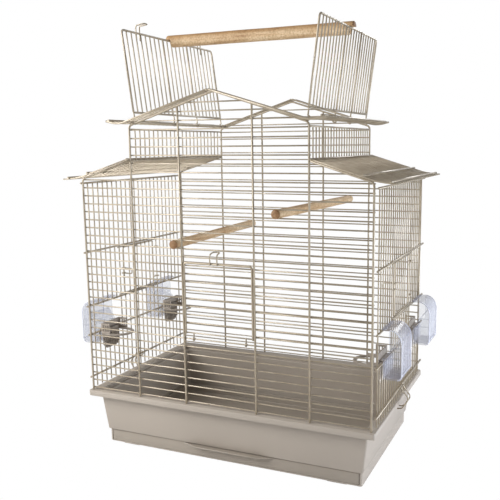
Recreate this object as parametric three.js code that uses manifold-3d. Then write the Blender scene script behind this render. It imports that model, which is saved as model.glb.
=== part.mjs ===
// Two-tier wire bird cage on a moulded base, with its roof opened out as a playtop.
// Millimetres, +Z up, origin on the floor under the middle, front towards -Y.
import * as THREE from 'three';
import { mergeVertices } from 'three/addons/utils/BufferGeometryUtils.js';
import Module from 'manifold-3d';

const wasm = await Module();
wasm.setup();

// Wirework: a bar laid outside the wires clears the thin ones and bites into the thick ones
const wire = 2;
const gap = 0.3;
const weld = 0.2;
const pitch = 12;
const bar = wire + 2 * (gap + weld);
const standOff = wire / 2 + gap + bar / 2;
const overrun = 8;

// The cage
const depthPitches = 23;
const cageWidth = 450;
const cageDepth = depthPitches * pitch;
const towerWidth = 276;
const halfWidth = cageWidth / 2;
const halfDepth = cageDepth / 2;
const towerHalf = towerWidth / 2;
const rimHeight = 90;
const wallHeight = 325.5;
const shoulderRise = 31.5;
const towerRise = 49;
const gableRise = 44;
const firstRise = 4;
const footLevel = rimHeight + gap;
const wallTop = rimHeight + wallHeight;
const ledgeLevel = wallTop + shoulderRise;
const towerTop = ledgeLevel + towerRise;
const ridgeLevel = towerTop + gableRise;
const rowLevel = (row) => rimHeight + firstRise + row * pitch;

// Front opening and door
const doorPostHalf = 57;
const sillRow = 8;
const headRow = 18;
const doorSideGap = 1;
const doorFrameRise = 7;
const doorFrameDrop = 8;
const doorCorner = 5;
const frontHookOffset = 42;
const catchLeftX = -10.6;
const catchRightX = 0.7;
const catchRise = 14;
const catchReach = 10;
const catchTipRise = 2;

// Side grilles: bar levels above the rim, openings and doors
const topBarDrop = 3;
const doorHeadHeight = 216.4;
const doorSillHeight = 132;
const feederSillHeight = 86.6;
const lowBarHeight = 19;
const combRise = 2;
const sidePlane = halfWidth + bar / 2 + gap + bar / 2;
const sideBarPlane = sidePlane + standOff;
const sideTopLevel = wallTop - topBarDrop;
const doorHeadLevel = rimHeight + doorHeadHeight;
const doorSillLevel = rimHeight + doorSillHeight;
const feederSillLevel = rimHeight + feederSillHeight;
const lowBarLevel = rimHeight + lowBarHeight;
const firstWire = 1;
const lastWire = depthPitches - 1;
const innerPost = 7;
const outerPost = depthPitches - innerPost;
const wireY = (index) => index * pitch - halfDepth;
const sideDoorFront = -45;
const sideDoorBack = 44;
const sideDoorClearance = 0.8;
const sideDoorHookInset = 12;
const sideDoorWires = 6;
const sideDoorFirstWire = -30;
const leftLatchRise = 37;
const rightLatchRise = 43;
const latchRises = { left: leftLatchRise, right: rightLatchRise };
const latchGauge = 8.6;
const latchReach = 16;

// Roofs
const upperPanelTopDrop = 5;
const roofSeat = sideTopLevel + bar + 2 * gap;
const roofLift = standOff + gap + weld;
const lowerRoofWires = 25;
const ribStep = 8;
const lowerMidInset = 16.3;
const lowerSpringReach = 14.7;
const lowerTipReach = 25.7;
const lowerEdgeReach = 19;
const lowerTipRise = 4;
const roofBarOverhang = 3;
const eaveReach = 2;
const hingeInset = 5;
const eaveSpringReach = 14;
const eaveTipReach = 28;
const eaveEdgeReach = 23;
const eaveDrop = 1.5;
const eaveTipRise = 2.5;
const stripPitch = 9;
const stripWires = 3;
const ridgeGap = 0.6;

// Roof wings, standing open
const wingLeanDegrees = 7.4;
const wingReach = 130.6;
const wingFootReach = 13.6;
const wingWires = depthPitches;
const wingHookWires = [0, 9, 15, lastWire];
const prongOffset = 90;
const prongGauge = 9;
const prongRise = 11;
const prongReach = 15;

// Perches
const roofPerchDiameter = 19;
const roofPerchLip = 4;
const notchInner = 6.2;
const notchOuter = 0.5;
const roofPerchSides = 12;
const perchDiameter = 13;
const perchSides = 8;
const perchFront = 147;
const perchBack = 145;
const perchSlotWidth = 3.2;
const leftPerchFrontX = -67;
const leftPerchBackX = -80;
const rightPerchFrontX = 92;
const rightPerchBackX = 103;
const perches = {
  left: { frontX: leftPerchFrontX, backX: leftPerchBackX, row: 19 },
  right: { frontX: rightPerchFrontX, backX: rightPerchBackX, row: 23 },
};

// Feeders
const feederOffset = 90;
const feederWidth = 55;
const feederWall = 2;
const hoodFootHeight = 67;
const hoodReach = 26.5;
const hoodClearance = 0.4;
const hoodSillRise = 1.4;
const hoodStepHeight = 96;
const hoodStepReach = 8;
const baffleLowX = 1.5;
const baffleHighX = 14;
const baffleLowHeight = 97;
const baffleHighHeight = 114;
const baffleThick = 1.6;
const holderWidth = 47;
const holderHeight = 100;
const holderClearance = 0.8;
const cheekHeight = 84;
const cheekReach = 16;
const apronHalf = 20;
const apronToeHalf = 12;
const apronToeRise = 7;
const apronFootHeight = 57;
const ringReach = 41;
const ringRail = 5;
const ringThick = 3;

// Tray clips
const clipFrontY = -12;
const clipBackY = 0;
const clipStandOff = 4;
const clipBulge = 15;
const clipBulgeDrop = 14;
const clipUnder = 3;
const clipToe = 8;

// Base
const rimMarginX = 6;
const rimMarginY = 7;
const rimReachX = halfWidth + rimMarginX;
const rimReachY = halfDepth + rimMarginY;
const rimLip = 9;
const plasticWall = 2.5;
const rimOverhangX = 13;
const rimOverhangY = 14;
const bodyDraftX = 7;
const bodyDraftY = 4;
const bodyTopX = rimReachX - rimOverhangX;
const bodyTopY = rimReachY - rimOverhangY;
const bodyLowX = bodyTopX - bodyDraftX;
const bodyLowY = bodyTopY - bodyDraftY;
const seamLevel = 23;
const seamStep = 2.5;
const floorLevel = 2;
const floorThick = 2.2;
const skirtX = bodyLowX - seamStep;
const skirtY = bodyLowY - seamStep;
const trayCorner = 4;
const rimCorner = 5;
const innerCornerShare = 0.4;
const cornerSteps = 1;
const footInsetX = 32.5;
const footInsetY = 16.5;
const footOffsetX = skirtX - footInsetX;
const footOffsetY = skirtY - footInsetY;
const footWidth = 32;
const footDepth = 20;
const drawerEndInset = 4.5;
const drawerBackInset = 13;
const drawerClearance = 1;
const drawerHalf = skirtX - drawerEndInset;
const pullHalf = 75;
const pullDepth = 7;
const pullSlope = 9;

const colours = {
  wirePaint: 0xcdbfa8,
  basePlastic: 0xa59b8f,
  holderPlastic: 0x9c9084,
  clearPlastic: 0xdcd8ee,
  perchWood: 0xe1be8c,
};
const finish = (name, roughness, metalness, opacity = 1) => new THREE.MeshStandardMaterial({
  name, color: colours[name], roughness, metalness, opacity, transparent: opacity < 1, flatShading: true,
});
const paint = () => finish('wirePaint', 0.4, 0.3);
const moulding = () => finish('basePlastic', 0.55, 0);
const insert = () => finish('holderPlastic', 0.55, 0);
const clear = () => finish('clearPlastic', 0.15, 0, 0.35);
const timber = () => finish('perchWood', 0.7, 0);

// Shapes
const solidOf = (geometry) => {
  geometry.deleteAttribute('normal');
  geometry.deleteAttribute('uv');
  const merged = mergeVertices(geometry);
  const vertProperties = new Float32Array(merged.attributes.position.array);
  const triVerts = new Uint32Array(merged.index.array);
  return new wasm.Manifold(new wasm.Mesh({ numProp: 3, vertProperties, triVerts }));
};

// Rings of points, one after another, skinned into a closed solid
const skin = (rings) => {
  const count = rings[0].length;
  const positions = rings.flat().flatMap((point) => [point.x, point.y, point.z]);
  const faces = [];
  for (let ring = 0; ring + 1 < rings.length; ring += 1) {
    for (let spot = 0; spot < count; spot += 1) {
      const next = (spot + 1) % count;
      const here = ring * count;
      const above = here + count;
      faces.push(here + spot, here + next, above + next, here + spot, above + next, above + spot);
    }
  }
  const last = (rings.length - 1) * count;
  for (let spot = 1; spot + 1 < count; spot += 1) {
    faces.push(0, spot + 1, spot, last, last + spot, last + spot + 1);
  }
  const geometry = new THREE.BufferGeometry();
  geometry.setAttribute('position', new THREE.Float32BufferAttribute(positions, 3));
  geometry.setIndex(faces);
  return solidOf(geometry);
};

// Square rod along a bent path that lies in one plane; across is the direction square to that plane
const rod = (path, size, across) => {
  const points = path.map((point) => new THREE.Vector3(...point));
  const flat = new THREE.Vector3(...across).normalize();
  const half = size / 2;
  const sides = points.slice(1).map((point, index) => (
    flat.clone().cross(point.clone().sub(points[index])).normalize()));
  const rings = points.map((point, index) => {
    const before = sides[Math.max(index - 1, 0)];
    const after = sides[Math.min(index, sides.length - 1)];
    const mitre = before.clone().add(after).divideScalar(1 + before.dot(after));
    return [[1, 1], [-1, 1], [-1, -1], [1, -1]].map(([side, up]) => (
      point.clone().addScaledVector(mitre, side * half).addScaledVector(flat, up * half)));
  });
  return skin(rings);
};

const block = (low, high) => {
  const centre = low.map((value, axis) => (value + high[axis]) / 2);
  const sizes = low.map((value, axis) => Math.abs(high[axis] - value));
  return solidOf(new THREE.BoxGeometry(...sizes).translate(...centre));
};
const bothWays = (value) => [-value, value];
const alongX = (from, to, y, z, size) => block([from, y - size / 2, z - size / 2], [to, y + size / 2, z + size / 2]);
const alongY = (x, from, to, z, size) => block([x - size / 2, from, z - size / 2], [x + size / 2, to, z + size / 2]);
const alongZ = (x, y, from, to, size) => block([x - size / 2, y - size / 2, from], [x + size / 2, y + size / 2, to]);
const join = (solids) => wasm.Manifold.union(solids);

// Six-sided hook of wire round a bar: returns the points of its path in the plane of two unit directions
const hookSteps = 5;
const hookTurn = Math.PI / 3;
const hookRadius = (held) => (held / Math.SQRT2 + gap + wire / 2) / Math.cos(hookTurn / 2);
const hookPath = (centre, held, out, side) => {
  const radius = hookRadius(held);
  return Array.from({ length: hookSteps + 1 }, (unused, step) => {
    const angle = step * hookTurn;
    return centre.map((value, axis) => (
      value + radius * (Math.cos(angle) * out[axis] + Math.sin(angle) * side[axis])));
  });
};

// Rectangle ring with eased corners for moulded walls
const traySpots = (halfX, halfY, radius, z) => {
  const spots = [];
  [[1, -1], [1, 1], [-1, 1], [-1, -1]].forEach(([signX, signY], quarter) => {
    for (let step = 0; step <= cornerSteps; step += 1) {
      const angle = (quarter - 1 + step / cornerSteps) * Math.PI / 2;
      spots.push(new THREE.Vector3(
        signX * (halfX - radius) + radius * Math.cos(angle),
        signY * (halfY - radius) + radius * Math.sin(angle),
        z,
      ));
    }
  });
  return spots;
};

// Flat outline drawn out into a solid; spot turns its two coordinates and the level into a point
const drawn = (outline, from, to, spot) => {
  const rings = [to, from].map((level) => outline.map(([first, second]) => spot(first, second, level)));
  const solid = skin(rings);
  return solid.volume() > 0 ? solid : skin(rings.reverse());
};
const drawnOut = (outline, from, to) => drawn(outline, from, to, (x, z, y) => new THREE.Vector3(x, y, z));
const drawnUp = (outline, from, to) => drawn(outline, from, to, (x, y, z) => new THREE.Vector3(x, y, z));
const drawnAcross = (outline, from, to) => drawn(outline, from, to, (y, z, x) => new THREE.Vector3(x, y, z));

const cage = new THREE.Group();
cage.name = 'bird_cage';
const place = (name, solid, material) => {
  const shape = solid.getMesh();
  const geometry = new THREE.BufferGeometry();
  geometry.setAttribute('position', new THREE.BufferAttribute(new Float32Array(shape.vertProperties), 3));
  geometry.setIndex(new THREE.BufferAttribute(new Uint32Array(shape.triVerts), 1));
  geometry.computeVertexNormals();
  const mesh = new THREE.Mesh(geometry, material);
  mesh.name = name;
  cage.add(mesh);
};
const bySide = { left: -1, right: 1 };

// Front and back grilles: one bent frame, rows ending in it, upright bars laid outside
const halfSpanAt = (level) => {
  if (level <= wallTop) return halfWidth;
  if (level <= ledgeLevel) {
    return halfWidth - (level - wallTop) * (halfWidth - towerHalf) / shoulderRise;
  }
  if (level <= towerTop) return towerHalf;
  return (ridgeLevel - level) * towerHalf / gableRise;
};
const wallRow = Math.floor((wallHeight - firstRise) / pitch) - (((wallHeight - firstRise) % pitch) < bar ? 1 : 0);
const stiffRows = [0, wallRow];
const grille = (end, hasDoor) => {
  const y = end * halfDepth;
  const barY = end * (halfDepth + standOff);
  const half = [[halfWidth, footLevel], [halfWidth, wallTop], [towerHalf, ledgeLevel], [towerHalf, towerTop]];
  const frame = [
    ...half.map(([x, z]) => [-x, y, z]),
    [0, y, ridgeLevel],
    ...half.reverse().map(([x, z]) => [x, y, z]),
  ];
  const pieces = [rod(frame, bar, [0, 1, 0])];
  for (let row = 0; rowLevel(row) < ridgeLevel - pitch; row += 1) {
    const level = rowLevel(row);
    const span = halfSpanAt(level);
    const size = stiffRows.includes(row) ? bar : wire;
    if (hasDoor && row > sillRow && row < headRow) {
      pieces.push(alongX(-span, -doorPostHalf, y, level, size), alongX(doorPostHalf, span, y, level, size));
    } else {
      pieces.push(alongX(-span, span, y, level, size));
    }
  }
  bothWays(towerHalf).forEach((x) => pieces.push(alongZ(x, barY, footLevel, towerTop, bar)));
  bothWays(doorPostHalf).forEach((x) => {
    pieces.push(alongZ(x, barY, footLevel, ridgeLevel - doorPostHalf * gableRise / towerHalf, bar));
    if (hasDoor) pieces.push(alongZ(x, y, rowLevel(sillRow), rowLevel(headRow), bar));
  });
  return join(pieces);
};
place('front_panel', grille(-1, true), paint());
place('back_panel', grille(1, false), paint());

// Drop-down front door on two hooks round the sill row, with a hairpin catch over the head row
const frontDoor = () => {
  const y = -halfDepth;
  const half = doorPostHalf - bar / 2 - doorSideGap - bar / 2;
  const low = rowLevel(sillRow) + doorFrameRise;
  const high = rowLevel(headRow) - doorFrameDrop;
  const frame = [
    [-half, y, low - bar / 2], [-half, y, high - doorCorner], [-half + doorCorner, y, high],
    [half - doorCorner, y, high], [half, y, high - doorCorner], [half, y, low - bar / 2],
  ];
  const pieces = [rod(frame, bar, [0, 1, 0]), alongX(-half, half, y, low, bar)];
  for (let row = sillRow + 1; row < headRow; row += 1) {
    const level = rowLevel(row);
    if (level > low + bar && level < high - doorCorner) pieces.push(alongX(-half, half, y, level, wire));
  }
  bothWays(frontHookOffset).forEach((x) => {
    const centre = [x, y, rowLevel(sillRow)];
    pieces.push(rod([[x, y, low], ...hookPath(centre, wire, [0, 0, 1], [0, -1, 0])], wire, [1, 0, 0]));
  });
  const catchY = y - bar / 2 - wire / 2 + weld;
  const catchLevel = high + catchRise;
  const tip = [catchY + catchReach, catchLevel + catchTipRise];
  [catchLeftX, catchRightX].forEach((x) => {
    pieces.push(rod([[x, catchY, high - bar / 2], [x, catchY, catchLevel], [x, ...tip]], wire, [1, 0, 0]));
  });
  pieces.push(alongX(catchLeftX, catchRightX, ...tip, wire));
  return join(pieces);
};
place('front_door', frontDoor(), paint());

// Side grilles: wires hang from the top bar as a comb, level bars lie outside them
const sideGrille = (side) => {
  const x = side * sidePlane;
  const barX = side * sideBarPlane;
  const reach = halfDepth + bar / 2;
  const tip = rimHeight + combRise;
  const pieces = [alongY(x, -reach, reach, sideTopLevel, bar)];
  for (let index = firstWire; index <= lastWire; index += 1) {
    const y = wireY(index);
    if ([firstWire, innerPost, outerPost, lastWire].includes(index)) {
      pieces.push(alongZ(x, y, tip, sideTopLevel, bar));
    } else if (index > innerPost && index < outerPost) {
      pieces.push(alongZ(x, y, tip, doorSillLevel, wire), alongZ(x, y, doorHeadLevel, sideTopLevel, wire));
    } else {
      pieces.push(alongZ(x, y, tip, feederSillLevel, wire), alongZ(x, y, doorSillLevel, sideTopLevel, wire));
    }
  }
  pieces.push(alongY(x, wireY(firstWire), wireY(lastWire), doorSillLevel, bar));
  pieces.push(alongY(x, wireY(innerPost), wireY(outerPost), doorHeadLevel, bar));
  pieces.push(alongY(x, wireY(firstWire), wireY(innerPost), feederSillLevel, bar));
  pieces.push(alongY(x, wireY(outerPost), wireY(lastWire), feederSillLevel, bar));
  [doorHeadLevel, doorSillLevel, feederSillLevel, lowBarLevel].forEach((level) => {
    pieces.push(alongY(barX, -reach, reach, level, bar));
  });
  return join(pieces);
};

// Side doors swing on two hooks round the rear post, with a wire loop swinging on their front edge
const sideDoorLow = doorSillLevel + bar / 2 + sideDoorClearance + bar / 2;
const sideDoorHigh = doorHeadLevel - bar / 2 - sideDoorClearance - bar / 2;
const sideDoorFrontBar = sideDoorFront + bar / 2;
const sideDoorBackBar = sideDoorBack - bar / 2;
const sideDoor = (side) => {
  const x = side * sidePlane;
  const pieces = [
    alongZ(x, sideDoorFrontBar, sideDoorLow - bar / 2, sideDoorHigh + bar / 2, bar),
    alongZ(x, sideDoorBackBar, sideDoorLow - bar / 2, sideDoorHigh + bar / 2, bar),
    alongY(x, sideDoorFrontBar, sideDoorBackBar, sideDoorLow, bar),
    alongY(x, sideDoorFrontBar, sideDoorBackBar, sideDoorHigh, bar),
  ];
  for (let index = 0; index < sideDoorWires; index += 1) {
    pieces.push(alongZ(x, sideDoorFirstWire + index * pitch, sideDoorLow, sideDoorHigh, wire));
  }
  [sideDoorLow + sideDoorHookInset, sideDoorHigh - sideDoorHookInset].forEach((level) => {
    const hook = hookPath([x, wireY(outerPost), level], bar, [0, -1, 0], [side, 0, 0]);
    pieces.push(rod([[x, sideDoorBackBar, level], ...hook], wire, [0, 0, 1]));
  });
  return join(pieces);
};
const doorLatch = (side, rise) => {
  const x = side * sidePlane;
  const low = doorSillLevel + rise;
  const inner = x - side * latchReach;
  const pieces = [low, low + latchGauge].map((level) => {
    const hook = hookPath([x, sideDoorFrontBar, level], bar, [-side, 0, 0], [0, -1, 0]);
    return rod([[inner, sideDoorFrontBar, level], ...hook], wire, [0, 0, 1]);
  });
  pieces.push(alongZ(inner, sideDoorFrontBar, low, low + latchGauge, wire));
  return join(pieces);
};

// Low grilles of the tower above the lower roofs
const towerPlane = towerHalf;
const upperPanel = (side) => {
  const x = side * towerPlane;
  const reach = halfDepth - bar / 2 - gap;
  const top = towerTop - upperPanelTopDrop;
  const pieces = [ledgeLevel, top].map((level) => alongY(x, -reach, reach, level, bar));
  for (let index = firstWire; index <= lastWire; index += 1) {
    pieces.push(alongZ(x, wireY(index), ledgeLevel, top, wire));
  }
  return join(pieces);
};

// Lower roofs: wires run down over the side grille and flare out past it
const lowerRoof = (side) => {
  const first = -(lowerRoofWires - 1) / 2;
  const topX = towerHalf + bar / 2 + gap + bar / 2;
  const topLevel = ledgeLevel + standOff;
  const path = [
    [topX, topLevel],
    [sidePlane, roofSeat],
    [sidePlane + lowerSpringReach, roofSeat],
    [sidePlane + lowerTipReach, roofSeat + lowerTipRise],
  ];
  const endY = -first * pitch + roofBarOverhang;
  const pieces = [alongY(side * topX, -endY, endY, topLevel, bar)];
  for (let index = 0; index < lowerRoofWires; index += 1) {
    const y = (first + index) * pitch;
    const size = index % ribStep === 0 ? bar : wire;
    pieces.push(rod(path.map(([x, z]) => [side * x, y, z]), size, [0, 1, 0]));
  }
  const slope = (topLevel - roofSeat) / (sidePlane - topX);
  const flare = lowerTipRise / (lowerTipReach - lowerSpringReach);
  const midLevel = roofSeat + lowerMidInset * slope + standOff * Math.hypot(slope, 1);
  const edgeLevel = roofSeat + (lowerEdgeReach - lowerSpringReach) * flare + standOff * Math.hypot(flare, 1);
  pieces.push(rod([[side * (sidePlane - lowerMidInset), -endY, midLevel],
    [side * (sidePlane - lowerMidInset), endY, midLevel]], bar, [slope * side, 0, 1]));
  pieces.push(rod([[side * (sidePlane + lowerEdgeReach), -endY, edgeLevel],
    [side * (sidePlane + lowerEdgeReach), endY, edgeLevel]], bar, [-flare * side, 0, 1]));
  return join(pieces);
};

// Upper roofs: strips over both gables, a flared eave and a hinge bar a little way up the slope
const crownX = ridgeGap / 2 + bar / 2;
const crownLevel = ridgeLevel + roofLift;
const cornerX = towerHalf + eaveReach;
const cornerLevel = towerTop + roofLift;
const hingeX = towerHalf - hingeInset;
const hingeLevel = cornerLevel + (cornerX - hingeX) * (crownLevel - cornerLevel) / (cornerX - crownX);
const upperRoof = (side) => {
  const eave = [
    [towerHalf + eaveSpringReach, cornerLevel - eaveDrop],
    [towerHalf + eaveTipReach, cornerLevel + eaveTipRise],
  ];
  const strip = [[crownX, crownLevel], [cornerX, cornerLevel], ...eave];
  const upright = [0, 1, 0];
  const outer = halfDepth + (stripWires - 1) * stripPitch + roofBarOverhang / 2;
  const pieces = [alongY(side * hingeX, -outer, outer, hingeLevel, bar)];
  bothWays(1).forEach((end) => {
    for (let index = 0; index < stripWires; index += 1) {
      const y = end * (halfDepth + index * stripPitch);
      pieces.push(rod(strip.map(([x, z]) => [side * x, y, z]), index === stripWires - 1 ? bar : wire, upright));
    }
    const near = end * (halfDepth - wire / 2);
    pieces.push(alongY(side * crownX, Math.min(near, end * outer), Math.max(near, end * outer), crownLevel, bar));
  });
  const wires = depthPitches - 1;
  for (let index = 0; index < wires; index += 1) {
    const y = (index - (wires - 1) / 2) * pitch;
    const size = index % ribStep === 0 ? bar : wire;
    pieces.push(rod([[hingeX, hingeLevel], ...eave].map(([x, z]) => [side * x, y, z]), size, upright));
  }
  const flare = (eaveTipRise + eaveDrop) / (eaveTipReach - eaveSpringReach);
  const edgeLevel = cornerLevel - eaveDrop + (eaveEdgeReach - eaveSpringReach) * flare
    + standOff * Math.hypot(flare, 1);
  const edgeX = side * (towerHalf + eaveEdgeReach);
  pieces.push(rod([[edgeX, -outer, edgeLevel], [edgeX, outer, edgeLevel]], bar, [-flare * side, 0, 1]));
  return join(pieces);
};

// Wings hooked round the hinge bars
const lean = wingLeanDegrees * Math.PI / 180;
const wingAt = (side, reach, inward, y) => [
  side * (hingeX + reach * Math.sin(lean) - inward * Math.cos(lean)), y,
  hingeLevel + reach * Math.cos(lean) + inward * Math.sin(lean),
];
const roofWing = (side) => {
  const first = -(wingWires - 1) / 2 * pitch;
  const across = [0, 1, 0];
  const face = [Math.cos(lean), 0, -side * Math.sin(lean)];
  const spanning = (reach) => rod([wingAt(side, reach, 0, first), wingAt(side, reach, 0, -first)], bar, face);
  const pieces = [spanning(wingFootReach), spanning(wingReach)];
  for (let index = 0; index < wingWires; index += 1) {
    const y = first + index * pitch;
    const hooked = wingHookWires.includes(index);
    const size = hooked ? bar : wire;
    pieces.push(rod([wingAt(side, wingFootReach, 0, y), wingAt(side, wingReach, 0, y)], size, across));
    if (hooked) {
      const up = [side * Math.sin(lean), 0, Math.cos(lean)];
      const out = [side * Math.cos(lean), 0, -Math.sin(lean)];
      const hook = hookPath([side * hingeX, y, hingeLevel], bar, up, out);
      pieces.push(rod([wingAt(side, wingFootReach, 0, y), ...hook], wire, across));
    }
  }
  if (side < 0) {
    bothWays(prongOffset).forEach((y) => {
      [y - prongGauge / 2, y + prongGauge / 2].forEach((legY) => {
        pieces.push(rod([wingAt(side, wingReach, 0, legY), wingAt(side, wingReach + prongRise, 0, legY),
          wingAt(side, wingReach + prongRise, prongReach, legY)], wire, across));
      });
      pieces.push(rod([wingAt(side, wingReach + prongRise, prongReach, y - prongGauge / 2),
        wingAt(side, wingReach + prongRise, prongReach, y + prongGauge / 2)], wire, face));
    });
  }
  return join(pieces);
};

Object.entries(bySide).forEach(([name, side]) => {
  place(`${name}_side_panel`, sideGrille(side), paint());
  place(`${name}_side_door`, sideDoor(side), paint());
  place(`${name}_door_latch`, doorLatch(side, latchRises[name]), paint());
  place(`${name}_upper_panel`, upperPanel(side), paint());
  place(`${name}_lower_roof`, lowerRoof(side), paint());
  place(`${name}_upper_roof`, upperRoof(side), paint());
  place(`${name}_roof_wing`, roofWing(side), paint());
});

// Round wood as a many-sided bar between two points
const dowel = (from, to, diameter, sides, up) => {
  const start = new THREE.Vector3(...from);
  const end = new THREE.Vector3(...to);
  const along = end.clone().sub(start).normalize();
  const right = along.clone().cross(new THREE.Vector3(...up)).normalize();
  const top = right.clone().cross(along);
  const rings = [start, end].map((centre) => Array.from({ length: sides }, (unused, spot) => {
    const angle = (spot + 1 / 2) * 2 * Math.PI / sides;
    return centre.clone()
      .addScaledVector(top, Math.sin(angle) * diameter / 2)
      .addScaledVector(right, -Math.cos(angle) * diameter / 2);
  }));
  const solid = skin(rings);
  return solid.volume() > 0 ? solid : skin(rings.reverse());
};

// Playtop perch, notched over the top bars of both wings
const wingTop = wingAt(1, wingReach, 0, 0);
const roofPerchLevel = wingTop[2] + bar / 2 * Math.SQRT2 + gap;
const roofPerchHalf = wingTop[0] + bar / 2 + notchOuter + roofPerchLip;
const roofPerch = () => {
  const wood = dowel([-roofPerchHalf, 0, wingTop[2]], [roofPerchHalf, 0, wingTop[2]],
    roofPerchDiameter, roofPerchSides, [0, 0, 1]);
  const notches = [-1, 1].map((side) => {
    const ends = [wingTop[0] - notchInner - bar / 2, wingTop[0] + notchOuter + bar / 2].map((x) => side * x);
    return block(
      [Math.min(...ends), -roofPerchDiameter, wingTop[2] - roofPerchDiameter],
      [Math.max(...ends), roofPerchDiameter, roofPerchLevel],
    );
  });
  return wood.subtract(join(notches));
};
place('roof_perch', roofPerch(), timber());

// Inner perches, slotted over two rows of the front and back grilles
const innerPerch = ({ frontX, backX, row }) => {
  const level = (rowLevel(row) + rowLevel(row + 1)) / 2;
  const neck = pitch / 2 - wire / 2 - gap;
  const wood = dowel([frontX, -perchFront, level], [backX, perchBack, level], perchDiameter, perchSides, [0, 0, 1]);
  const reach = Math.abs(frontX) + Math.abs(backX);
  const slots = bothWays(halfDepth).flatMap((y) => [[neck, perchDiameter], [-perchDiameter, -neck]].map(
    ([from, to]) => block([-reach, y - perchSlotWidth / 2, level + from], [reach, y + perchSlotWidth / 2, level + to]),
  ));
  return wood.subtract(join(slots));
};
Object.entries(perches).forEach(([name, perch]) => place(`${name}_perch`, innerPerch(perch), timber()));

// Feeders: clear hood outside with a sloping baffle, ribbed holder inside with a perch ring
const facing = (outline, origin, side) => outline.map(([x, z]) => [side * (origin + x), z]);
const hoodOutlineShares = [
  [0, 0], [0.74, 0], [0.93, 0.06], [1, 0.2], [1, 0.68], [0.92, 0.81], [0.7, 0.94], [0.38, 1], [0, 1],
];
const hoodFoot = rimHeight + hoodFootHeight;
const hoodHead = doorSillLevel + bar / 2 + gap + feederWall;
const hoodOutline = (inset) => hoodOutlineShares.map(([reachShare, riseShare]) => [
  inset + reachShare * (hoodReach - 2 * inset),
  hoodFoot + inset + riseShare * (hoodHead - hoodFoot - 2 * inset),
]);
const feederHood = (side, end) => {
  const origin = sideBarPlane + bar / 2 + hoodClearance;
  const y = end * feederOffset;
  const half = feederWidth / 2;
  const within = half - feederWall;
  const slab = (fromX, toX, reach, low, high) => {
    const ends = [side * fromX, side * toX];
    return block([Math.min(...ends), y - reach, low], [Math.max(...ends), y + reach, high]);
  };
  const outer = drawnOut(facing(hoodOutline(0), origin, side), y - half, y + half);
  const inner = drawnOut(facing(hoodOutline(feederWall), origin, side), y - within, y + within);
  const sill = feederSillLevel + bar / 2 + hoodSillRise;
  const mouth = slab(origin - overrun, origin + 2 * feederWall, within, sill, hoodHead - feederWall);
  const step = slab(origin - overrun, origin + hoodStepReach, half + overrun, rimHeight + hoodStepHeight,
    hoodHead - feederWall);
  const lip = slab(sidePlane + bar / 2 + gap, origin + feederWall, within, hoodHead - feederWall, hoodHead);
  const baffle = drawnOut(facing([
    [baffleLowX, rimHeight + baffleLowHeight], [baffleLowX + baffleThick, rimHeight + baffleLowHeight],
    [baffleHighX + baffleThick, rimHeight + baffleHighHeight], [baffleHighX, rimHeight + baffleHighHeight],
  ], origin, side), y - within - weld, y + within + weld);
  return outer.subtract(join([inner, mouth, step])).add(join([lip, baffle]));
};
const ringOutlineShares = [[0.5, 0.95], [1, 0.36]];
const ringOutline = (start, reach, half) => {
  const flank = [[start, half], ...ringOutlineShares.map(([reachShare, halfShare]) => (
    [reachShare * reach, halfShare * half]))];
  return [...flank, ...flank.map(([out, across]) => [out, -across]).reverse()];
};
const feederHolder = (side, end) => {
  const origin = sidePlane - bar / 2 - holderClearance;
  const y = end * feederOffset;
  const half = holderWidth / 2;
  const head = rimHeight + holderHeight;
  const ledge = rimHeight + cheekHeight;
  const foot = rimHeight + apronFootHeight;
  const slab = (fromX, toX, fromY, toY, low, high) => {
    const ends = [side * fromX, side * toX];
    return block([Math.min(...ends), y + fromY, low], [Math.max(...ends), y + toY, high]);
  };
  const plate = slab(origin - feederWall, origin, -half, half, ledge, head);
  const cheeks = [[-half, feederWall - half], [half - feederWall, half]].map(([fromY, toY]) => (
    slab(origin - cheekReach, origin, fromY, toY, ledge, head)));
  const apron = drawnAcross([
    [y - apronToeHalf, foot], [y + apronToeHalf, foot], [y + apronHalf, foot + apronToeRise],
    [y + apronHalf, ledge + weld], [y - apronHalf, ledge + weld], [y - apronHalf, foot + apronToeRise],
  ], side * (origin - feederWall), side * origin);
  const placed = (outline) => outline.map(([out, across]) => [side * (origin - out), y + across]);
  const ring = drawnUp(placed(ringOutline(0, ringReach, half)), ledge - ringThick, ledge + weld)
    .subtract(drawnUp(placed(ringOutline(-overrun, ringReach - ringRail, half - ringRail)),
      ledge - ringThick - overrun, ledge + overrun));
  const tabTop = feederSillLevel + bar / 2 + gap + feederWall;
  const tab = slab(origin - feederWall, sideBarPlane + bar / 2, 2 * feederWall - half, half - 2 * feederWall,
    tabTop - feederWall, tabTop);
  return join([plate, ...cheeks, apron, ring, tab]);
};
Object.entries(bySide).forEach(([name, side]) => {
  Object.entries({ front: -1, rear: 1 }).forEach(([spot, end]) => {
    place(`${name}_${spot}_feeder_hood`, feederHood(side, end), clear());
    place(`${name}_${spot}_feeder_holder`, feederHolder(side, end), insert());
  });
});

// Spring wire clips hooked round the low bar, with a toe under the rim
const trayClip = (side) => {
  const x = side * sideBarPlane;
  const under = rimHeight - rimLip - clipUnder;
  const knee = side * (rimReachX + clipBulge);
  const pieces = [clipFrontY, clipBackY].map((y) => rod([
    [side * (rimReachX - clipToe), y, under], [side * (rimReachX + clipStandOff), y, under],
    [knee, y, lowBarLevel - clipBulgeDrop],
    ...hookPath([x, y, lowBarLevel], bar, [side, 0, 0], [0, 0, 1]),
  ], wire, [0, 1, 0]));
  pieces.push(alongY(side * (rimReachX - clipToe), clipFrontY, clipBackY, under, wire));
  return join(pieces);
};
Object.entries(bySide).forEach(([name, side]) => place(`${name}_tray_clip`, trayClip(side), paint()));

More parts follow.
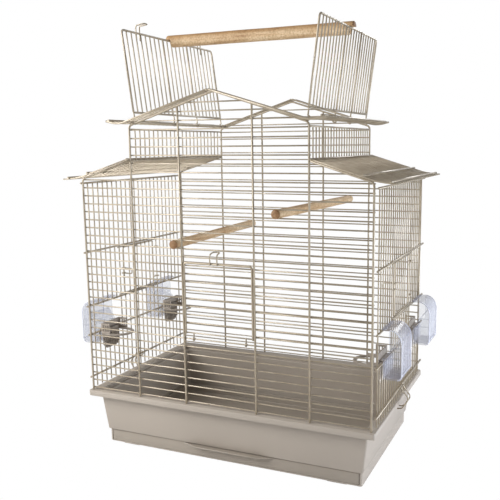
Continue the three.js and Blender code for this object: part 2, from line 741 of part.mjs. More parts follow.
// Moulded base: rim with a turned-down lip, tapered walls, recessed skirt and a slot for the drawer
const moulded = (sections) => skin(sections.map((section) => traySpots(...section)));
const drawerTop = seamLevel - gap * 2;
const drawerFloor = floorLevel + floorThick + gap;
const baseTray = () => {
  const rim = moulded([
    [rimReachX, rimReachY, rimCorner, rimHeight - rimLip],
    [rimReachX, rimReachY, rimCorner, rimHeight],
  ]).subtract(moulded([
    [rimReachX - plasticWall, rimReachY - plasticWall, rimCorner * innerCornerShare, rimHeight - rimLip - overrun],
    [rimReachX - plasticWall, rimReachY - plasticWall, rimCorner * innerCornerShare, rimHeight - plasticWall],
  ]));
  const body = moulded([
    [skirtX, skirtY, trayCorner, floorLevel],
    [skirtX, skirtY, trayCorner, seamLevel],
    [bodyLowX, bodyLowY, trayCorner, seamLevel],
    [bodyTopX, bodyTopY, trayCorner, rimHeight - weld],
  ]);
  const innerTopX = bodyTopX - plasticWall;
  const innerTopY = bodyTopY - plasticWall;
  const innerCorner = trayCorner * innerCornerShare;
  const hollow = moulded([
    [skirtX - plasticWall, skirtY - plasticWall, innerCorner, floorLevel + floorThick],
    [skirtX - plasticWall, skirtY - plasticWall, innerCorner, seamLevel + plasticWall],
    [bodyLowX - plasticWall, bodyLowY - plasticWall, innerCorner, seamLevel + plasticWall],
    [innerTopX, innerTopY, innerCorner, rimHeight - weld],
    [innerTopX, innerTopY, innerCorner, rimHeight + overrun],
  ]);
  const slot = block(
    [-drawerHalf - drawerClearance, -skirtY - overrun, floorLevel + floorThick],
    [drawerHalf + drawerClearance, -skirtY + trayCorner, seamLevel],
  );
  const feet = bothWays(footOffsetX).flatMap((x) => bothWays(footOffsetY).map((y) => block(
    [x - footWidth / 2, y - footDepth / 2, 0], [x + footWidth / 2, y + footDepth / 2, floorLevel + floorThick / 2],
  )));
  return join([rim, body, ...feet]).subtract(join([hollow, slot]));
};
place('base_tray', baseTray(), moulding());

// Litter drawer with a finger pull in its front edge
const litterDrawer = () => {
  const back = skirtY - drawerBackInset;
  const tub = block([-drawerHalf, -skirtY, drawerFloor], [drawerHalf, back, drawerTop]);
  const hollow = block(
    [-drawerHalf + plasticWall, -skirtY + plasticWall, drawerFloor + plasticWall],
    [drawerHalf - plasticWall, back - plasticWall, drawerTop + overrun],
  );
  const pull = drawnOut([
    [-pullHalf, drawerTop + overrun], [-pullHalf, drawerTop], [-pullHalf + pullSlope, drawerTop - pullDepth],
    [pullHalf - pullSlope, drawerTop - pullDepth], [pullHalf, drawerTop], [pullHalf, drawerTop + overrun],
  ], -skirtY - overrun, -skirtY + plasticWall + weld);
  return tub.subtract(join([hollow, pull]));
};
place('litter_drawer', litterDrawer(), moulding());

export default cage;
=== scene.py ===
import math
import bmesh
import bpy
from mathutils import Matrix, Vector, noise


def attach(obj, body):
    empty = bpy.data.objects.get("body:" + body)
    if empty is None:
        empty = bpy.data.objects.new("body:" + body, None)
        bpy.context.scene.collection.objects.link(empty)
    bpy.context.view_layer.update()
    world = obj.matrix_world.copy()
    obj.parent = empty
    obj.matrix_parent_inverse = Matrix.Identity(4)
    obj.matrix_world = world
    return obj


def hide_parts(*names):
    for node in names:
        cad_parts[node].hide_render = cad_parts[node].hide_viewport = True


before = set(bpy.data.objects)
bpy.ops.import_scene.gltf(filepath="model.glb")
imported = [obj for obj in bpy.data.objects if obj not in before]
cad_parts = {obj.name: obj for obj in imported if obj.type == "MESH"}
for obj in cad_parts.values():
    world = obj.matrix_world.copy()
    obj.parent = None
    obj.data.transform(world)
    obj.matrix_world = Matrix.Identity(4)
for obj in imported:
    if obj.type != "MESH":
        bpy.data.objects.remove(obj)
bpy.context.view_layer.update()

mm = 0.001

# The photograph's camera: focal length and centre in pixels of a 500 pixel frame, angles in degrees
photoView = {
    "frame": 500, "focal": 696.68, "centre": (281.17, 255.82), "azimuth": 23.176, "elevation": 9.046,
    "roll": -0.498, "target": (0.0, 87.75, 280.7), "distance": 1186.0, "sensor": 36.0, "nearest": 0.01,
    "furthest": 50.0,
}


def addCamera(view):
    azimuth, elevation, roll = (math.radians(view[key]) for key in ("azimuth", "elevation", "roll"))
    back = Vector((math.sin(azimuth) * math.cos(elevation), -math.cos(azimuth) * math.cos(elevation),
                   math.sin(elevation)))
    right = (-back).cross(Vector((0, 0, 1))).normalized()
    up = right.cross(-back)
    turnedRight = math.cos(roll) * right + math.sin(roll) * up
    turnedUp = math.cos(roll) * up - math.sin(roll) * right
    place = (Vector(view["target"]) + back * view["distance"]) * mm
    data = bpy.data.cameras.new("photoCamera")
    data.sensor_width = view["sensor"]
    data.lens = view["focal"] * view["sensor"] / view["frame"]
    data.shift_x = (view["frame"] / 2 - view["centre"][0]) / view["frame"]
    data.shift_y = (view["centre"][1] - view["frame"] / 2) / view["frame"]
    data.clip_start, data.clip_end = view["nearest"], view["furthest"]
    camera = bpy.data.objects.new("photoCamera", data)
    axes = Matrix((turnedRight, turnedUp, back)).transposed()
    camera.matrix_world = Matrix.Translation(place) @ axes.to_4x4()
    bpy.context.scene.collection.objects.link(camera)
    bpy.context.scene.camera = camera


addCamera(photoView)


# Points, wires and rods, all in millimetres
legShare = 0.49  # the most that a bend may take of a straight leg


def asVectors(points):
    return [Vector(point) for point in points]


def roundCorners(points, radius, steps=4):
    points = asVectors(points)
    result = [points[0]]
    for before, corner, after in zip(points, points[1:], points[2:]):
        toBefore, toAfter = before - corner, after - corner
        reach = min(radius, toBefore.length * legShare, toAfter.length * legShare)
        start = corner + toBefore.normalized() * reach
        end = corner + toAfter.normalized() * reach
        for step in range(steps + 1):
            share = step / steps
            result.append(start * (1 - share) ** 2 + corner * 2 * share * (1 - share) + end * share ** 2)
    result.append(points[-1])
    return result


# Gathers rings of points into one mesh
class MeshKit:
    def __init__(self):
        self.vertices = []
        self.faces = []
        self.smooth = []

    def addRings(self, rings, closedLoop=False, smooth=True):
        count, start = len(rings[0]), len(self.vertices)
        for ring in rings:
            self.vertices.extend(ring)
        for span in range(len(rings) if closedLoop else len(rings) - 1):
            here = start + span * count
            there = start + ((span + 1) % len(rings)) * count
            for spot in range(count):
                after = (spot + 1) % count
                self.faces.append((here + spot, here + after, there + after, there + spot))
                self.smooth.append(smooth)
        if not closedLoop:
            last = start + (len(rings) - 1) * count
            self.faces.append(tuple(start + spot for spot in reversed(range(count))))
            self.faces.append(tuple(last + spot for spot in range(count)))
            self.smooth += [False, False]

    # A round wire along a path, its two ends chamfered
    def addTube(self, path, diameter, sides=10, tipShare=0.12):
        points = asVectors(path)
        radius, tip, last = diameter / 2, diameter * tipShare, len(points) - 1
        turns = [2 * math.pi * spot / sides for spot in range(sides)]
        rings = []
        for index, point in enumerate(points):
            tangent = (points[min(index + 1, last)] - points[max(index - 1, 0)]).normalized()
            if index == 0:
                normal = tangent.orthogonal().normalized()
            normal = (normal - tangent * normal.dot(tangent)).normalized()
            side = tangent.cross(normal)
            stations = [(point, radius)]
            if index == 0:
                stations = [(point, radius - tip), (point + tangent * tip, radius)]
            elif index == last:
                stations = [(point - tangent * tip, radius), (point, radius - tip)]
            for place, size in stations:
                rings.append([place + (normal * math.cos(turn) + side * math.sin(turn)) * size
                              for turn in turns])
        self.addRings(rings)

    def addBox(self, low, high):
        xs, ys, zs = zip(low, high)
        rings = [[Vector((xs[a], ys[b], z)) for a, b in ((0, 0), (1, 0), (1, 1), (0, 1))] for z in zs]
        self.addRings(rings, smooth=False)

    def build(self, name):
        mesh = bpy.data.meshes.new(name)
        mesh.from_pydata([tuple(vertex * mm) for vertex in self.vertices], [], self.faces)
        mesh.polygons.foreach_set("use_smooth", self.smooth)
        mesh.validate()
        shell = bmesh.new()
        shell.from_mesh(mesh)
        bmesh.ops.recalc_face_normals(shell, faces=shell.faces)
        shell.to_mesh(mesh)
        shell.free()
        piece = bpy.data.objects.new(name, mesh)
        bpy.context.scene.collection.objects.link(piece)
        return piece


def finishPiece(piece, material, body, node):
    piece.data.materials.append(material)
    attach(piece, body)
    if node:
        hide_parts(node)


# The cage's own sizes; the thin rows and the upright bars behind which they are pressed
cage = {
    "halfWidth": 225.0, "halfDepth": 138.0, "towerHalf": 138.0, "rim": 90.0, "wallTop": 419.5,
    "ledge": 446.6, "towerTop": 496.0, "ridge": 540.0, "firstRow": 94.0, "pitch": 12.0, "wire": 2.0,
    "bar": 3.0, "press": 0.4, "sidePlane": 228.3, "doorPost": 57.0, "sillRow": 8, "headRow": 18,
}
halfWidth, halfDepth, towerHalf = cage["halfWidth"], cage["halfDepth"], cage["towerHalf"]
wire, bar, pitch = cage["wire"], cage["bar"], cage["pitch"]
behind = bar / 2 + wire / 2 - cage["press"]


def rowLevel(row):
    return cage["firstRow"] + row * pitch


def sideWireY(index):
    return index * pitch - halfDepth


def spanAt(level):
    if level <= cage["wallTop"]:
        return halfWidth
    if level <= cage["ledge"]:
        share = (level - cage["wallTop"]) / (cage["ledge"] - cage["wallTop"])
        return halfWidth - share * (halfWidth - towerHalf)
    if level <= cage["towerTop"]:
        return towerHalf
    return (cage["ridge"] - level) * towerHalf / (cage["ridge"] - cage["towerTop"])


def roofLevel(x):
    return cage["ridge"] - x * (cage["ridge"] - cage["towerTop"]) / towerHalf


# Front and back grilles: upright bars outside, rows of thin wire pressed on behind them
grilleSizes = {
    "barOut": 2.1, "overhang": 1.4, "bend": 5.0, "doorOverhang": 0.9, "footGap": 0.4,
    "shoulderOut": 1.8, "shoulderDown": 0.6, "postDown": 0.9,
}


def addGrille(end, hasDoor):
    kit = MeshKit()
    s = grilleSizes
    barY = end * (halfDepth + s["barOut"])
    rowY = barY - end * behind
    foot = cage["rim"] + s["footGap"]
    for side in (-1, 1):
        shoulder = [(side * halfWidth, barY, foot), (side * halfWidth, barY, cage["wallTop"]),
                    (side * (towerHalf + s["shoulderOut"]), barY, cage["ledge"] - s["shoulderDown"])]
        kit.addTube(roundCorners(shoulder, s["bend"]), bar)
        post = side * cage["doorPost"]
        kit.addTube([(post, barY, foot), (post, barY, roofLevel(cage["doorPost"]) - s["postDown"])], bar)
    tower = [(-towerHalf, barY, foot), (-towerHalf, barY, cage["towerTop"]), (0, barY, cage["ridge"]),
             (towerHalf, barY, cage["towerTop"]), (towerHalf, barY, foot)]
    kit.addTube(roundCorners(tower, s["bend"]), bar)
    row = 0
    while rowLevel(row) < cage["ridge"] - pitch:
        level = rowLevel(row)
        span = spanAt(level) + s["overhang"]
        stretches = [(-span, span)]
        if hasDoor and cage["sillRow"] < row < cage["headRow"]:
            inner = cage["doorPost"] - s["doorOverhang"]
            stretches = [(-span, -inner), (inner, span)]
        for left, right in stretches:
            kit.addTube([(left, rowY, level), (right, rowY, level)], wire)
        row += 1
    return kit


# Drop-down door: a hoop closed by a thin wire, hooks on the sill row, hairpin catch over the head row
doorSizes = {
    "half": 53.8, "lift": 9.0, "drop": 8.0, "corner": 4.5, "legDown": 1.5, "overhang": 1.2,
    "hookOffset": 42.0, "hookRadius": 2.4, "hookRise": 1.0, "catchX": (-10.6, 0.7), "catchFoot": 1.5,
    "catchRise": 14.0, "catchReach": 10.5, "catchTip": 2.2, "catchBend": 3.5,
}


# A wire's end bent nearly full circle round another wire
def hookPoints(centre, out, side, radius, turns=0.83, steps=14):
    centre, out, side = Vector(centre), Vector(out), Vector(side)
    angles = [2 * math.pi * turns * step / steps for step in range(steps + 1)]
    return [centre + (out * math.cos(angle) + side * math.sin(angle)) * radius for angle in angles]


def addFrontDoor():
    kit = MeshKit()
    s = doorSizes
    y = -halfDepth - grilleSizes["barOut"]
    rowY, catchY = y + behind, y - behind
    sill, half, span = rowLevel(cage["sillRow"]), s["half"], s["half"] + s["overhang"]
    low, high = sill + s["lift"], rowLevel(cage["headRow"]) - s["drop"]
    foot = low - s["legDown"]
    hoop = [(-half, y, foot), (-half, y, high), (half, y, high), (half, y, foot)]
    kit.addTube(roundCorners(hoop, s["corner"], 6), bar)
    for level in [low] + [rowLevel(row) for row in range(cage["sillRow"] + 2, cage["headRow"])]:
        kit.addTube([(-span, rowY, level), (span, rowY, level)], wire)
    for x in (-s["hookOffset"], s["hookOffset"]):
        hook = hookPoints((x, rowY, sill), (0, 0, 1), (0, -1, 0), s["hookRadius"])
        kit.addTube([(x, rowY, low + s["hookRise"])] + hook, wire)
    left, right = s["catchX"]
    end, top = high - s["catchFoot"], high + s["catchRise"]
    tipY, tipZ = catchY + s["catchReach"], top + s["catchTip"]
    hairpin = [(left, catchY, end), (left, catchY, top), (left, tipY, tipZ), (right, tipY, tipZ),
               (right, catchY, top), (right, catchY, end)]
    kit.addTube(roundCorners(hairpin, s["catchBend"], 5), wire)
    return kit


# Side grilles: upright wires inside, level bars outside, openings for the door and the two feeders
sideSizes = {
    "topBar": 412.5, "doorHead": 306.4, "doorSill": 222.0, "feederSill": 176.6, "lowBar": 109.0,
    "comb": 92.0, "wires": 22, "innerPost": 7, "outerPost": 16, "barReach": 139.5, "overlap": 1.0,
    "braceIn": 3.0, "braceReach": 2.0,
}


def addSideGrille(side):
    kit = MeshKit()
    s = sideSizes
    x = side * cage["sidePlane"]
    barX, reach, lap = x + side * behind, s["barReach"], s["overlap"]
    for index in range(1, s["wires"] + 1):
        y = sideWireY(index)
        gap = None
        if s["innerPost"] < index < s["outerPost"]:
            gap = (s["doorSill"] + lap, s["doorHead"] - lap)
        elif index not in (1, s["innerPost"], s["outerPost"], s["wires"]):
            gap = (s["feederSill"] + lap, s["doorSill"] - lap)
        low, high = s["comb"], s["topBar"] + lap
        for start, end in ((low, gap[0]), (gap[1], high)) if gap else ((low, high),):
            kit.addTube([(x, y, start), (x, y, end)], wire)
    for level in ("topBar", "doorHead", "doorSill", "feederSill", "lowBar"):
        kit.addTube([(barX, -reach, s[level]), (barX, reach, s[level])], bar)
    front = sideWireY(s["innerPost"]) - s["braceReach"]
    back = sideWireY(s["outerPost"]) + s["braceReach"]
    for level in (s["doorHead"] - s["braceIn"], s["doorSill"] + s["braceIn"]):
        kit.addTube([(barX, front, level), (barX, back, level)], wire)
    return kit


# Side doors and the wire loops that latch them
sideDoorSizes = {
    "front": -43.5, "back": 42.5, "low": 225.8, "high": 302.6, "corner": 4.0, "closing": 0.5,
    "thinner": 0.4, "first": -30.0, "wires": 6, "wiresIn": 1.2, "overhang": 1.2, "hookInset": 12.0,
    "hookRadius": 3.1, "latchRise": {"left": 37.0, "right": 43.0}, "gauge": 8.6, "reach": 16.0,
    "latchBend": 3.5,
}


def addSideDoor(side):
    kit = MeshKit()
    s = sideDoorSizes
    x = side * cage["sidePlane"]
    front, back, low, high = s["front"], s["back"], s["low"], s["high"]
    hoop = [(x, 0, low), (x, front, low), (x, front, high), (x, back, high), (x, back, low),
            (x, s["closing"], low)]
    kit.addTube(roundCorners(hoop, s["corner"], 5), bar - s["thinner"])
    wireX = x - side * s["wiresIn"]
    for index in range(s["wires"]):
        y = s["first"] + index * pitch
        kit.addTube([(wireX, y, low - s["overhang"]), (wireX, y, high + s["overhang"])], wire)
    post = sideWireY(sideSizes["outerPost"])
    for level in (low + s["hookInset"], high - s["hookInset"]):
        hook = hookPoints((x, post, level), (0, -1, 0), (side, 0, 0), s["hookRadius"])
        kit.addTube([(x, back, level)] + hook, wire)
    return kit


def addDoorLatch(side, rise):
    kit = MeshKit()
    s = sideDoorSizes
    x = side * cage["sidePlane"]
    inner, front = x - side * s["reach"], s["front"]
    low = sideSizes["doorSill"] + rise
    high = low + s["gauge"]
    lowHook, highHook = (hookPoints((x, front, level), (-side, 0, 0), (0, -1, 0), s["hookRadius"])
                         for level in (low, high))
    corners = [lowHook[0], (inner, front, low), (inner, front, high), highHook[0]]
    kit.addTube(lowHook[:0:-1] + roundCorners(corners, s["latchBend"], 5) + highHook[1:], wire)
    return kit


# Low grilles of the tower
upperSizes = {
    "top": 491.0, "reach": 136.0, "overlap": 1.0, "barOut": 0.6, "thinner": 0.6,
}


def addUpperPanel(side):
    kit = MeshKit()
    s = upperSizes
    x = side * towerHalf
    barX = x + side * s["barOut"]
    for index in range(1, sideSizes["wires"] + 1):
        y = sideWireY(index)
        kit.addTube([(x, y, cage["ledge"] - s["overlap"]), (x, y, s["top"] + s["overlap"])], wire)
    for level in (cage["ledge"], s["top"]):
        kit.addTube([(barX, -s["reach"], level), (barX, s["reach"], level)], bar - s["thinner"])
    return kit


# Lower roofs: wires from the tower down over the side grille and out past it, nearly level
lowerSizes = {
    "topX": 141.3, "topZ": 448.6, "seat": 421.6, "spring": 14.7, "springZ": 419.4, "tip": 25.7,
    "leftTip": 29.6, "tipZ": 418.6, "mid": 16.3, "edge": 19.0, "wires": 25, "end": 147.0, "thicker": 0.2,
}
roofBend = 5.0


def levelOn(path, x):
    for (nearX, nearZ), (farX, farZ) in zip(path, path[1:]):
        if x <= farX:
            return nearZ + (x - nearX) * (farZ - nearZ) / (farX - nearX)
    return path[-1][1]


def addRoofWire(kit, side, path, y, size):
    kit.addTube(roundCorners([(side * x, y, z) for x, z in path], roofBend), size)


def addLowerRoof(side):
    kit = MeshKit()
    s = lowerSizes
    plane = cage["sidePlane"]
    path = [(s["topX"], s["topZ"]), (plane, s["seat"]), (plane + s["spring"], s["springZ"]),
            (plane + (s["leftTip"] if side < 0 else s["tip"]), s["tipZ"])]
    for index in range(s["wires"]):
        y = (index - (s["wires"] - 1) / 2) * pitch
        addRoofWire(kit, side, path, y, wire + s["thicker"])
    bars = [(s["topX"], s["topZ"])]
    bars += [(x, levelOn(path, x) + behind) for x in (plane - s["mid"], plane + s["edge"])]
    for x, z in bars:
        kit.addTube([(side * x, -s["end"], z), (side * x, s["end"], z)], bar)
    return kit


# Upper roofs: gable strips of three wires, hinge bar, eave wires and their edge bar
upperRoofSizes = {
    "hingeX": 133.0, "hingeZ": 501.53, "cornerX": 140.0, "cornerZ": 499.3, "apexX": 1.8,
    "frontApex": 540.6, "backApex": 543.3, "springX": 152.0, "springZ": 499.4, "tipX": 166.0,
    "tipZ": 502.6, "edgeX": 161.0, "strips": 3, "stripPitch": 9.0, "inset": 1.0, "outer": 157.5,
    "eaves": 22,
}


def addUpperRoof(side):
    kit = MeshKit()
    s = upperRoofSizes
    outer, apexX = s["outer"], side * s["apexX"]
    eave = [(s["springX"], s["springZ"]), (s["tipX"], s["tipZ"])]
    for end in (-1, 1):
        apexZ = s["frontApex"] if end < 0 else s["backApex"]
        strip = [(s["apexX"], apexZ), (s["cornerX"], s["cornerZ"])] + eave
        for index in range(s["strips"]):
            y = end * (halfDepth + index * s["stripPitch"])
            size = bar if index == s["strips"] - 1 else wire
            addRoofWire(kit, side, strip, y, size)
        kit.addTube([(apexX, end * (halfDepth - s["inset"]), apexZ), (apexX, end * outer, apexZ)], bar)
    slope = [(s["hingeX"], s["hingeZ"])] + eave
    for index in range(s["eaves"]):
        y = (index - (s["eaves"] - 1) / 2) * pitch
        addRoofWire(kit, side, slope, y, wire)
    for x, z in (slope[0], (s["edgeX"], levelOn(slope, s["edgeX"]) + behind)):
        kit.addTube([(side * x, -outer, z), (side * x, outer, z)], bar)
    return kit


# Roof wings standing open, hooked round the hinge bars; the left one keeps its two hairpin catches
wingSizes = {
    "lean": 7.4, "foot": 13.6, "reach": 130.6, "wires": 23, "wiresOut": 0.8, "overlap": 1.0,
    "hooks": (0, 9, 15, 22), "hookRadius": 3.1, "thicker": 0.3, "corner": 6.0, "prongs": (-90.0, 90.0),
    "prongGauge": 9.0, "prongFoot": 10.0, "prongOut": (1.6, 1.2), "prongRise": 11.0, "prongReach": 15.0,
    "prongBend": 3.0,
}
lean = math.radians(wingSizes["lean"])


def wingPoint(side, reach, inward, y):
    return (side * (upperRoofSizes["hingeX"] + reach * math.sin(lean) - inward * math.cos(lean)), y,
            upperRoofSizes["hingeZ"] + reach * math.cos(lean) + inward * math.sin(lean))


def addRoofWing(side):
    kit = MeshKit()
    s = wingSizes
    foot, reach, lap = s["foot"], s["reach"], s["overlap"]
    last = (s["wires"] - 1) / 2 * pitch
    up = (side * math.sin(lean), 0, math.cos(lean))
    out = (side * math.cos(lean), 0, -math.sin(lean))
    corners = ((foot, -last), (reach, -last), (reach, last), (foot, last))
    rim = [wingPoint(side, along, 0, y) for along, y in corners]
    kit.addTube(roundCorners(rim, s["corner"], 6), bar)
    kit.addTube([rim[0], rim[-1]], bar)
    for index in range(s["wires"]):
        y = -last + index * pitch
        if 0 < index < s["wires"] - 1:
            ends = [wingPoint(side, along, -s["wiresOut"], y) for along in (foot - lap, reach + lap)]
            kit.addTube(ends, bar if index in s["hooks"] else wire)
        if index in s["hooks"]:
            hook = hookPoints(wingPoint(side, 0, 0, y), up, out, s["hookRadius"])
            kit.addTube([wingPoint(side, foot + lap, 0, y)] + hook, wire + s["thicker"])
    if side > 0:
        return kit
    footOut, rimOut = s["prongOut"]
    top = reach + s["prongRise"]
    leg = [(reach - s["prongFoot"], -footOut), (reach, -rimOut), (top, 0), (top, s["prongReach"])]
    for centreY in s["prongs"]:
        near, far = centreY - s["prongGauge"] / 2, centreY + s["prongGauge"] / 2
        hairpin = [wingPoint(side, along, inward, near) for along, inward in leg]
        hairpin += [wingPoint(side, along, inward, far) for along, inward in reversed(leg)]
        kit.addTube(roundCorners(hairpin, s["prongBend"], 5), wire)
    return kit


# Clips hooked round the low bar, toe under the rim
clipSizes = {
    "front": -12.0, "back": 0.0, "toe": 223.0, "heel": 235.5, "under": 78.0, "knee": 246.1,
    "kneeZ": 95.0, "bar": 231.1, "barZ": 109.0, "hookRadius": 3.6, "hookIn": 0.3, "legBend": 5.0,
    "toeBend": 3.0,
}


def addTrayClip(side):
    kit = MeshKit()
    s = clipSizes
    halves = []
    for y in (s["front"], s["back"]):
        pivot = (side * (s["bar"] - s["hookIn"]), y, s["barZ"])
        hook = hookPoints(pivot, (side, 0, 0), (0, 0, 1), s["hookRadius"])
        leg = [(side * s["toe"], y, s["under"]), (side * s["heel"], y, s["under"]),
               (side * s["knee"], y, s["kneeZ"]), hook[0]]
        halves.append(roundCorners(leg, s["legBend"], 5) + hook[1:])
    front, back = halves
    toe = roundCorners([front[1], front[0], back[0], back[1]], s["toeBend"], 5)
    kit.addTube(front[:1:-1] + toe + back[2:], wire)
    return kit


# Moulded base: rounded rectangles from the skirt over the rim and down the inside to the floor,
# each with its half width, half depth, corner radius and level
def rectangleRing(halfX, halfY, radius, z, steps=5):
    ring = []
    for quarter, (signX, signY) in enumerate(((1, -1), (1, 1), (-1, 1), (-1, -1))):
        for step in range(steps + 1):
            angle = (quarter - 1 + step / steps) * math.pi / 2
            ring.append(Vector((signX * (halfX - radius) + radius * math.cos(angle),
                                signY * (halfY - radius) + radius * math.sin(angle), z)))
    return ring


baseSizes = {
    "rings": [
        (207.5, 123.5, 2.4, 2.0), (208.5, 124.5, 3.0, 3.0), (208.5, 124.5, 3.0, 22.6),
        (210.4, 126.4, 2.6, 22.8), (211.0, 127.0, 3.0, 23.8), (218.0, 131.0, 3.0, 80.0),
        (218.0, 131.0, 3.0, 87.4), (228.4, 142.4, 1.4, 87.4), (228.6, 142.6, 1.5, 81.6),
        (229.4, 143.4, 2.0, 81.0), (230.6, 144.6, 2.6, 81.3), (231.0, 145.0, 3.0, 82.2),
        (231.0, 145.0, 3.0, 88.8), (230.6, 144.6, 2.7, 89.7), (229.8, 143.8, 2.2, 90.0),
        (216.4, 129.4, 2.2, 90.0), (215.6, 128.6, 2.0, 89.3), (215.4, 128.4, 2.0, 86.2),
        (216.6, 129.6, 2.0, 85.6), (216.6, 129.6, 2.0, 83.6), (211.8, 125.9, 2.0, 83.2),
        (211.0, 125.1, 2.0, 82.2), (208.6, 124.2, 2.0, 26.4), (206.0, 122.0, 2.0, 25.4),
        (206.0, 122.0, 2.0, 5.2), (205.0, 121.0, 1.6, 4.2),
    ],
    "slot": ((-205.0, -135.0, 4.2), (205.0, -112.5, 22.9)),
    "feetX": 171.0, "feetY": 112.4, "footSize": (34.0, 20.0), "footCorner": 4.0,
    "footInsets": [(1.6, 0.0), (0.4, 0.5), (0.0, 1.4), (0.0, 2.2)], "crisp": 28,
}


def applyAll(piece):
    graph = bpy.context.evaluated_depsgraph_get()
    mesh = bpy.data.meshes.new_from_object(piece.evaluated_get(graph))
    piece.modifiers.clear()
    piece.data = mesh


def subtract(piece, tool):
    change = piece.modifiers.new("cut", "BOOLEAN")
    change.operation = "DIFFERENCE"
    change.object = tool
    change.solver = "EXACT"
    applyAll(piece)
    bpy.data.objects.remove(tool)


def cutBox(piece, low, high):
    cutter = MeshKit()
    cutter.addBox(low, high)
    subtract(piece, cutter.build("cutter"))


# Edges sharper than this many degrees stay crisp
def sharpenEdges(piece, degrees):
    mesh = piece.data
    mesh.polygons.foreach_set("use_smooth", [True] * len(mesh.polygons))
    mesh.set_sharp_from_angle(angle=math.radians(degrees))


def addBase():
    s = baseSizes
    kit = MeshKit()
    kit.addRings([rectangleRing(*ring) for ring in s["rings"]])
    tray = kit.build("baseTray")
    cutBox(tray, *s["slot"])
    width, depth = s["footSize"]
    feet = MeshKit()
    for x in (-s["feetX"], s["feetX"]):
        for y in (-s["feetY"], s["feetY"]):
            rings = [rectangleRing(width / 2 - inset, depth / 2 - inset, s["footCorner"], z, 3)
                     for inset, z in s["footInsets"]]
            feet.addRings([[point + Vector((x, y, 0)) for point in ring] for ring in rings])
    return tray, feet.build("baseFeet")


# Drawer: front band under a seam, protruding finger pull and shallow tub
drawerSizes = {
    "half": 204.0, "front": -124.5, "back": 111.5, "low": 4.5, "high": 22.4, "wall": 2.5, "seam": 0.9,
    "bevel": 0.7, "tubIn": 1.0, "tubCorner": 3.0, "soft": 1.0, "tubDown": 1.0, "tubBevel": (0.5, 0.6),
    "pull": 76.5, "pullShift": 1.5, "pullSlope": 25.0, "lip": 10.0, "lipRoot": 0.5,
    "lipInsets": [(1.4, 2.2), (0.3, 1.7), (0.0, 0.6), (0.5, 0.1)],
}


def addDrawer():
    s = drawerSizes
    front, wall, half, low, soft = s["front"], s["wall"], s["half"], s["low"], s["soft"]
    top = s["high"] - s["seam"]
    kit = MeshKit()
    outline = [(-half, low), (half, low), (half, top), (-half, top)]
    kit.addRings([[Vector((x, y, z)) for x, z in outline] for y in (front + wall, front)], smooth=False)
    band = kit.build("litterDrawer")
    bevel = band.modifiers.new("edge", "BEVEL")
    bevel.width = s["bevel"] * mm
    bevel.segments = 3
    bevel.limit_method = "ANGLE"
    applyAll(band)
    tub = MeshKit()
    centreY, depth = (front + wall + s["back"]) / 2, (s["back"] - front - wall) / 2
    rim = s["high"] - s["tubDown"]
    bevelIn, bevelDown = s["tubBevel"]
    profile = ((soft, low), (0.0, low + soft), (0.0, rim - bevelDown), (bevelIn, rim),
               (wall - bevelIn, rim), (wall, rim - bevelDown), (wall, low + wall + soft),
               (wall + soft, low + wall))
    rings = [rectangleRing(half - s["tubIn"] - shrink, depth - shrink, s["tubCorner"], z, 3)
             for shrink, z in profile]
    tub.addRings([[point + Vector((0, centreY, 0)) for point in ring] for ring in rings])
    pull = MeshKit()
    rings = []
    for inset, down in s["lipInsets"]:
        tipY, edge, root = front - s["lip"] + inset, s["pull"] - inset, front + s["lipRoot"]
        tipX = edge - s["pullSlope"]
        outline = [(-edge, root), (-tipX, tipY), (tipX, tipY), (edge, root)]
        rings.append([Vector((x + s["pullShift"], y, top - down)) for x, y in outline])
    pull.addRings(rings, smooth=False)
    return band, tub.build("drawerTub"), pull.build("drawerLedge")


# Round wood: slightly uneven dowels with bevelled ends. The roof's is stepped to sit on the wings' wires,
# the inner two are grooved above and below to hold between the rows of the front and back grilles
dowelSizes = {
    "roof": {"from": (-154.6, 0.0, 631.0), "to": (154.6, 0.0, 631.0), "size": 18.9, "seed": 3.0,
             "name": "roofPerch", "node": "roof_perch", "body": "roof_perch",
             "step": (146.5, 158.0, 619.0, 633.3)},
    "left": {"from": (-67.0, -147.0, 328.0), "to": (-80.0, 145.0, 328.0), "size": 12.9, "seed": 11.0,
             "name": "leftPerch", "node": "left_perch", "body": "cage"},
    "right": {"from": (92.0, -147.0, 376.0), "to": (103.0, 145.0, 376.0), "size": 12.9, "seed": 23.0,
              "name": "rightPerch", "node": "right_perch", "body": "cage"},
}
dowelShape = {
    "sides": 28, "spans": 60, "bevel": [(0.0, 0.9), (0.35, 0.35), (0.9, 0.0)], "wave": 0.02,
    "round": 0.9, "swell": 0.28, "shrink": 0.12, "most": 0.05, "cutReach": 200.0, "grooveHalf": 1.6,
    "groove": (4.7, 9.0), "stepReach": 20.0, "crisp": 35,
}


